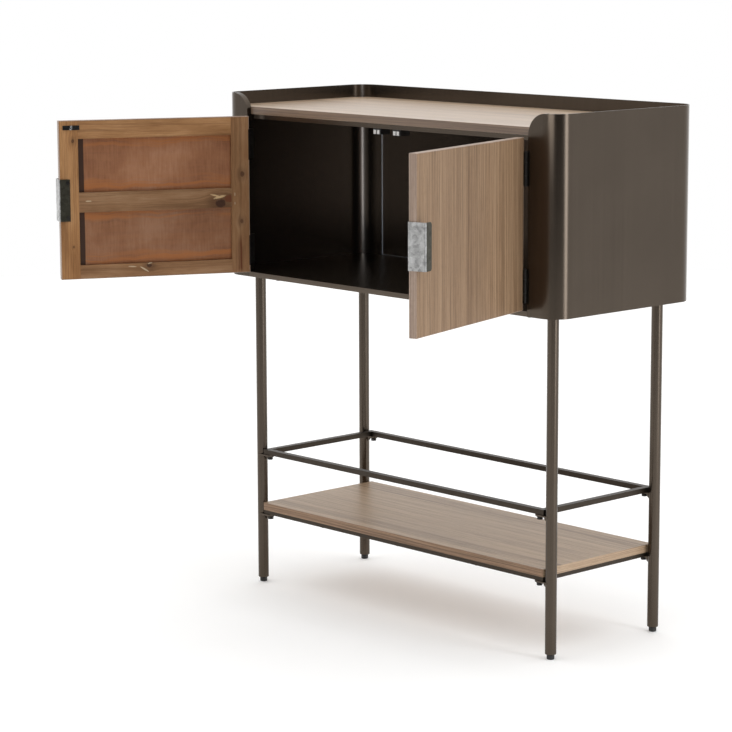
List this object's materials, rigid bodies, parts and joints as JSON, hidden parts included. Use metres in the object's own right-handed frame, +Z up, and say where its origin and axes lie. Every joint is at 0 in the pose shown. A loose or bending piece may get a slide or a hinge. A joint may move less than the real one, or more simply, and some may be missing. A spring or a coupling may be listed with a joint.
{
  "type": "sideboard buffet",
  "caption": "Storage cabinet wrapped in sheet metal with hinged wood doors, a galleried wood top, and a slim leg stand with a low shelf and rail.",
  "frame": {"origin": "on the floor, midway between the four feet", "axes": "+X along the length to the right as seen from the front, -Y the way the doors face, +Z up"},
  "size_m": [1.0685, 0.7587, 1.006],
  "materials": {
    "shell_metal": "satin bronze-grey, fine brushed",
    "inner_metal": "dark satin",
    "frame_metal": "satin bronze-grey",
    "top_veneer": "satin lacquer",
    "shelf_veneer": "satin lacquer",
    "door_veneer": "satin lacquer",
    "edge_veneer": "satin lacquer",
    "pine": "satin lacquer",
    "plywood": "satin lacquer",
    "zinc_handle": "mottled galvanised",
    "black_steel": "satin",
    "black_plastic": "matte",
    "bright_steel": "bright"
  },
  "bodies": {
    "cabinet": {"back_panel": "shell_metal", "back_screws": "black_steel", "catch_left": "black_plastic", "catch_poles": "bright_steel", "catch_right": "black_plastic", "floor_channel_left": "inner_metal", "floor_channel_right": "inner_metal", "floor_pan": "inner_metal", "frame_bolts": "black_steel", "hinge_leaves_left": "black_steel", "hinge_leaves_right": "black_steel", "hinge_pins_left": "black_steel", "hinge_pins_right": "black_steel", "hinge_screws": "black_steel", "leg_bolts": "black_steel", "leg_front_left": "frame_metal", "leg_front_right": "frame_metal", "leg_plugs": "black_plastic", "leg_rear_left": "frame_metal", "leg_rear_right": "frame_metal", "shelf_frame": "frame_metal", "shelf_screws": "black_steel", "shell_left": "shell_metal", "shell_right": "shell_metal", "top_plate": "inner_metal", "upper_rail": "frame_metal", "wood_shelf": "shelf_veneer", "wood_top": "top_veneer"},
    "door_left": {"door_left_bottom_rail": "pine", "door_left_edge_band": "edge_veneer", "door_left_free_stile": "pine", "door_left_handle": "zinc_handle", "door_left_handle_screws": "black_steel", "door_left_hinge_leaves": "black_steel", "door_left_hinge_screws": "black_steel", "door_left_hinge_stile": "pine", "door_left_lower_panel": "plywood", "door_left_middle_rail": "pine", "door_left_skin": "door_veneer", "door_left_strike_plate": "black_steel", "door_left_top_rail": "pine", "door_left_upper_panel": "plywood"},
    "door_right": {"door_right_bottom_rail": "pine", "door_right_edge_band": "edge_veneer", "door_right_free_stile": "pine", "door_right_handle": "zinc_handle", "door_right_handle_screws": "black_steel", "door_right_hinge_leaves": "black_steel", "door_right_hinge_screws": "black_steel", "door_right_hinge_stile": "pine", "door_right_lower_panel": "plywood", "door_right_middle_rail": "pine", "door_right_skin": "door_veneer", "door_right_strike_plate": "black_steel", "door_right_top_rail": "pine", "door_right_upper_panel": "plywood"},
    "levelling_front_left": {"foot_front_left": "black_plastic"},
    "levelling_front_right": {"foot_front_right": "black_plastic"},
    "levelling_rear_left": {"foot_rear_left": "black_plastic"},
    "levelling_rear_right": {"foot_rear_right": "black_plastic"}
  },
  "joints": [
    {"name": "door_left_hinge", "type": "hinge", "parent": "cabinet", "child": "door_left", "pos_m": [-0.3838, -0.1929, 0.807], "axis": [0, 0, -1], "range_deg": [-116, 64]},
    {"name": "door_right_hinge", "type": "hinge", "parent": "cabinet", "child": "door_right", "pos_m": [0.3838, -0.1929, 0.807], "axis": [0, 0, 1], "range_deg": [-106, 74]},
    {"name": "levelling_front_left", "type": "slide", "parent": "cabinet", "child": "levelling_front_left", "axis": [0, 0, -1], "range_m": [0, 0.012]},
    {"name": "levelling_front_right", "type": "slide", "parent": "cabinet", "child": "levelling_front_right", "axis": [0, 0, -1], "range_m": [0, 0.012]},
    {"name": "levelling_rear_left", "type": "slide", "parent": "cabinet", "child": "levelling_rear_left", "axis": [0, 0, -1], "range_m": [0, 0.012]},
    {"name": "levelling_rear_right", "type": "slide", "parent": "cabinet", "child": "levelling_rear_right", "axis": [0, 0, -1], "range_m": [0, 0.012]}
  ]
}
